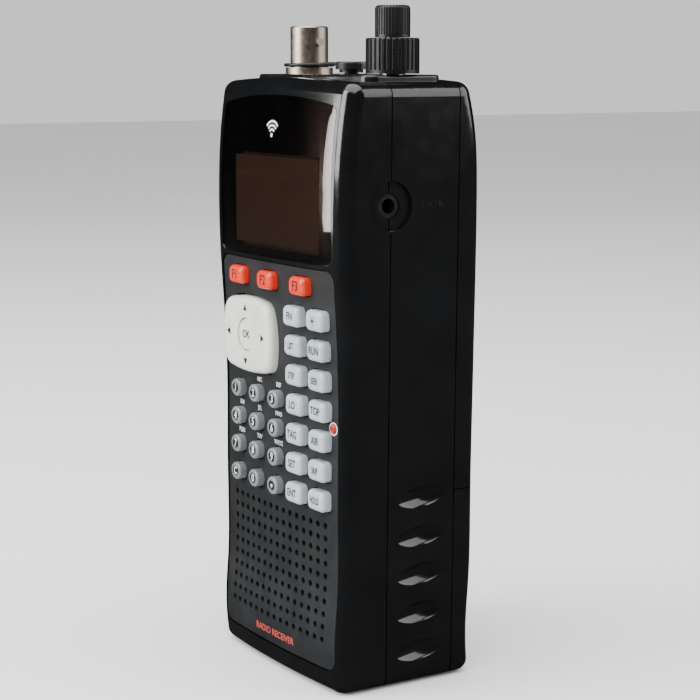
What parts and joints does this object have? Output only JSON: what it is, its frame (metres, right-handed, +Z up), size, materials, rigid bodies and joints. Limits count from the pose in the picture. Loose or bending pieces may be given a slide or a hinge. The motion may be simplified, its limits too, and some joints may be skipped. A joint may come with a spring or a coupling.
{
  "type": "handheld radio scanner",
  "caption": "Handheld radio receiver with display lens, rocker and keypad, concentric top knobs, antenna socket, speaker grille, side grips and hinged battery door.",
  "frame": {"origin": "middle of the base, on the surface the feet stand on", "axes": "+Z up, the keypad and display face -Y, +X is the side with the data jack"},
  "size_m": [0.0632, 0.0437, 0.1647],
  "materials": {
    "case_gloss": "moulded black ABS, polished",
    "panel_matte": "fine matte charcoal",
    "lens": "smoked clear acrylic",
    "display": "unlit display, brown-olive",
    "silicone": "grey silicone",
    "circuit_board": "solder mask",
    "speaker_paper": "paper cone and steel frame",
    "nickel": "nickel plate, warm",
    "insulator": "PTFE",
    "rubber_trim": "black rubber",
    "jack_plastic": "black nylon",
    "trim_plastic": "satin black",
    "pot_metal": "zinc plated",
    "knob_plastic": "ribbed satin black",
    "cell_jacket": "plain printed jacket",
    "screw_steel": "black zinc",
    "led_red": "clear red epoxy",
    "nav_ivory": "translucent ivory silicone",
    "key_orange": "translucent orange-red",
    "key_pale": "translucent pale blue-grey",
    "key_grey": "grey with dark dished centre"
  },
  "bodies": {
    "case": {"front_shell": "case_gloss", "keypad_panel": "panel_matte", "mid_shell": "case_gloss", "rear_shell": "case_gloss", "display_lens": "lens", "lcd_module": "display", "keypad_mat": "silicone", "main_board": "circuit_board", "speaker": "speaker_paper", "bnc_connector": "nickel", "bnc_insulator": "insulator", "cap_tether": "rubber_trim", "audio_jacks": "jack_plastic", "top_plate": "trim_plastic", "control_pot": "pot_metal", "battery_holder": "jack_plastic", "batteries": "cell_jacket", "battery_contacts": "nickel", "feet": "rubber_trim", "case_screws": "screw_steel", "status_led": "led_red"},
    "key_f1": {"key_f1": "key_orange"},
    "key_f2": {"key_f2": "key_orange"},
    "key_f3": {"key_f3": "key_orange"},
    "key_fn_1_1": {"key_fn_1_1": "key_pale"},
    "key_fn_1_2": {"key_fn_1_2": "key_pale"},
    "key_fn_2_1": {"key_fn_2_1": "key_pale"},
    "key_fn_2_2": {"key_fn_2_2": "key_pale"},
    "key_fn_3_1": {"key_fn_3_1": "key_pale"},
    "key_fn_3_2": {"key_fn_3_2": "key_pale"},
    "key_fn_4_1": {"key_fn_4_1": "key_pale"},
    "key_fn_4_2": {"key_fn_4_2": "key_pale"},
    "key_fn_5_1": {"key_fn_5_1": "key_pale"},
    "key_fn_5_2": {"key_fn_5_2": "key_pale"},
    "key_fn_6_1": {"key_fn_6_1": "key_pale"},
    "key_fn_6_2": {"key_fn_6_2": "key_pale"},
    "key_fn_7_1": {"key_fn_7_1": "key_pale"},
    "key_fn_7_2": {"key_fn_7_2": "key_pale"},
    "key_num_1_1": {"key_num_1_1": "key_grey"},
    "key_num_1_2": {"key_num_1_2": "key_grey"},
    "key_num_1_3": {"key_num_1_3": "key_grey"},
    "key_num_2_1": {"key_num_2_1": "key_grey"},
    "key_num_2_2": {"key_num_2_2": "key_grey"},
    "key_num_2_3": {"key_num_2_3": "key_grey"},
    "key_num_3_1": {"key_num_3_1": "key_grey"},
    "key_num_3_2": {"key_num_3_2": "key_grey"},
    "key_num_3_3": {"key_num_3_3": "key_grey"},
    "key_num_4_1": {"key_num_4_1": "key_grey"},
    "key_num_4_2": {"key_num_4_2": "key_grey"},
    "key_num_4_3": {"key_num_4_3": "key_grey"},
    "nav_pivot_plate": {"nav_pivot_plate": "jack_plastic"},
    "nav_pad": {"nav_pad": "nav_ivory"},
    "nav_select": {"nav_select": "nav_ivory"},
    "squelch": {"squelch_shaft": "pot_metal", "squelch_knob": "knob_plastic"},
    "volume": {"volume_shaft": "pot_metal", "volume_knob": "knob_plastic"},
    "battery_door": {"battery_door": "case_gloss"},
    "door_latch": {"door_latch": "case_gloss"},
    "jack_cap": {"jack_cap": "rubber_trim"}
  },
  "joints": [
    {"name": "key_f1_press", "type": "slide", "parent": "case", "child": "key_f1", "axis": [0, 1, 0], "range_m": [0, 0.0008], "stiffness_N_per_m": 600},
    {"name": "key_f2_press", "type": "slide", "parent": "case", "child": "key_f2", "axis": [0, 1, 0], "range_m": [0, 0.0008], "stiffness_N_per_m": 600},
    {"name": "key_f3_press", "type": "slide", "parent": "case", "child": "key_f3", "axis": [0, 1, 0], "range_m": [0, 0.0008], "stiffness_N_per_m": 600},
    {"name": "key_fn_1_1_press", "type": "slide", "parent": "case", "child": "key_fn_1_1", "axis": [0, 1, 0], "range_m": [0, 0.0008], "stiffness_N_per_m": 600},
    {"name": "key_fn_1_2_press", "type": "slide", "parent": "case", "child": "key_fn_1_2", "axis": [0, 1, 0], "range_m": [0, 0.0008], "stiffness_N_per_m": 600},
    {"name": "key_fn_2_1_press", "type": "slide", "parent": "case", "child": "key_fn_2_1", "axis": [0, 1, 0], "range_m": [0, 0.0008], "stiffness_N_per_m": 600},
    {"name": "key_fn_2_2_press", "type": "slide", "parent": "case", "child": "key_fn_2_2", "axis": [0, 1, 0], "range_m": [0, 0.0008], "stiffness_N_per_m": 600},
    {"name": "key_fn_3_1_press", "type": "slide", "parent": "case", "child": "key_fn_3_1", "axis": [0, 1, 0], "range_m": [0, 0.0008], "stiffness_N_per_m": 600},
    {"name": "key_fn_3_2_press", "type": "slide", "parent": "case", "child": "key_fn_3_2", "axis": [0, 1, 0], "range_m": [0, 0.0008], "stiffness_N_per_m": 600},
    {"name": "key_fn_4_1_press", "type": "slide", "parent": "case", "child": "key_fn_4_1", "axis": [0, 1, 0], "range_m": [0, 0.0008], "stiffness_N_per_m": 600},
    {"name": "key_fn_4_2_press", "type": "slide", "parent": "case", "child": "key_fn_4_2", "axis": [0, 1, 0], "range_m": [0, 0.0008], "stiffness_N_per_m": 600},
    {"name": "key_fn_5_1_press", "type": "slide", "parent": "case", "child": "key_fn_5_1", "axis": [0, 1, 0], "range_m": [0, 0.0008], "stiffness_N_per_m": 600},
    {"name": "key_fn_5_2_press", "type": "slide", "parent": "case", "child": "key_fn_5_2", "axis": [0, 1, 0], "range_m": [0, 0.0008], "stiffness_N_per_m": 600},
    {"name": "key_fn_6_1_press", "type": "slide", "parent": "case", "child": "key_fn_6_1", "axis": [0, 1, 0], "range_m": [0, 0.0008], "stiffness_N_per_m": 600},
    {"name": "key_fn_6_2_press", "type": "slide", "parent": "case", "child": "key_fn_6_2", "axis": [0, 1, 0], "range_m": [0, 0.0008], "stiffness_N_per_m": 600},
    {"name": "key_fn_7_1_press", "type": "slide", "parent": "case", "child": "key_fn_7_1", "axis": [0, 1, 0], "range_m": [0, 0.0008], "stiffness_N_per_m": 600},
    {"name": "key_fn_7_2_press", "type": "slide", "parent": "case", "child": "key_fn_7_2", "axis": [0, 1, 0], "range_m": [0, 0.0008], "stiffness_N_per_m": 600},
    {"name": "key_num_1_1_press", "type": "slide", "parent": "case", "child": "key_num_1_1", "axis": [0, 1, 0], "range_m": [0, 0.0008], "stiffness_N_per_m": 600},
    {"name": "key_num_1_2_press", "type": "slide", "parent": "case", "child": "key_num_1_2", "axis": [0, 1, 0], "range_m": [0, 0.0008], "stiffness_N_per_m": 600},
    {"name": "key_num_1_3_press", "type": "slide", "parent": "case", "child": "key_num_1_3", "axis": [0, 1, 0], "range_m": [0, 0.0008], "stiffness_N_per_m": 600},
    {"name": "key_num_2_1_press", "type": "slide", "parent": "case", "child": "key_num_2_1", "axis": [0, 1, 0], "range_m": [0, 0.0008], "stiffness_N_per_m": 600},
    {"name": "key_num_2_2_press", "type": "slide", "parent": "case", "child": "key_num_2_2", "axis": [0, 1, 0], "range_m": [0, 0.0008], "stiffness_N_per_m": 600},
    {"name": "key_num_2_3_press", "type": "slide", "parent": "case", "child": "key_num_2_3", "axis": [0, 1, 0], "range_m": [0, 0.0008], "stiffness_N_per_m": 600},
    {"name": "key_num_3_1_press", "type": "slide", "parent": "case", "child": "key_num_3_1", "axis": [0, 1, 0], "range_m": [0, 0.0008], "stiffness_N_per_m": 600},
    {"name": "key_num_3_2_press", "type": "slide", "parent": "case", "child": "key_num_3_2", "axis": [0, 1, 0], "range_m": [0, 0.0008], "stiffness_N_per_m": 600},
    {"name": "key_num_3_3_press", "type": "slide", "parent": "case", "child": "key_num_3_3", "axis": [0, 1, 0], "range_m": [0, 0.0008], "stiffness_N_per_m": 600},
    {"name": "key_num_4_1_press", "type": "slide", "parent": "case", "child": "key_num_4_1", "axis": [0, 1, 0], "range_m": [0, 0.0008], "stiffness_N_per_m": 600},
    {"name": "key_num_4_2_press", "type": "slide", "parent": "case", "child": "key_num_4_2", "axis": [0, 1, 0], "range_m": [0, 0.0008], "stiffness_N_per_m": 600},
    {"name": "key_num_4_3_press", "type": "slide", "parent": "case", "child": "key_num_4_3", "axis": [0, 1, 0], "range_m": [0, 0.0008], "stiffness_N_per_m": 600},
    {"name": "nav_up_down", "type": "hinge", "parent": "case", "child": "nav_pivot_plate", "pos_m": [-0.0112, -0.015, 0.0839], "axis": [1, 0, 0], "range_deg": [-1.8, 1.8], "stiffness_Nm_per_rad": 0.2},
    {"name": "nav_left_right", "type": "hinge", "parent": "nav_pivot_plate", "child": "nav_pad", "pos_m": [-0.0112, -0.015, 0.0839], "axis": [0, 0, 1], "range_deg": [-1.8, 1.8], "stiffness_Nm_per_rad": 0.2},
    {"name": "nav_select_press", "type": "slide", "parent": "nav_pad", "child": "nav_select", "axis": [0, 1, 0], "range_m": [0, 0.0006], "stiffness_N_per_m": 600},
    {"name": "squelch_turn", "type": "hinge", "parent": "case", "child": "squelch", "pos_m": [0.022, 0.0009, 0.15], "axis": [0, 0, -1], "range_deg": [-150, 150]},
    {"name": "volume_turn", "type": "hinge", "parent": "case", "child": "volume", "pos_m": [0.022, 0.0009, 0.15], "axis": [0, 0, -1], "range_deg": [-150, 150]},
    {"name": "battery_door_open", "type": "hinge", "parent": "case", "child": "battery_door", "pos_m": [0, 0.01415, 0.00065], "axis": [-1, 0, 0], "range_deg": [0, 60]},
    {"name": "latch_slide", "type": "slide", "parent": "case", "child": "door_latch", "axis": [0, 0, 1], "range_m": [0, 0.0018], "stiffness_N_per_m": 500},
    {"name": "cap_lift", "type": "slide", "parent": "case", "child": "jack_cap", "axis": [0, 0, 1], "range_m": [0, 0.006], "deforming": ["cap_tether"]}
  ]
}
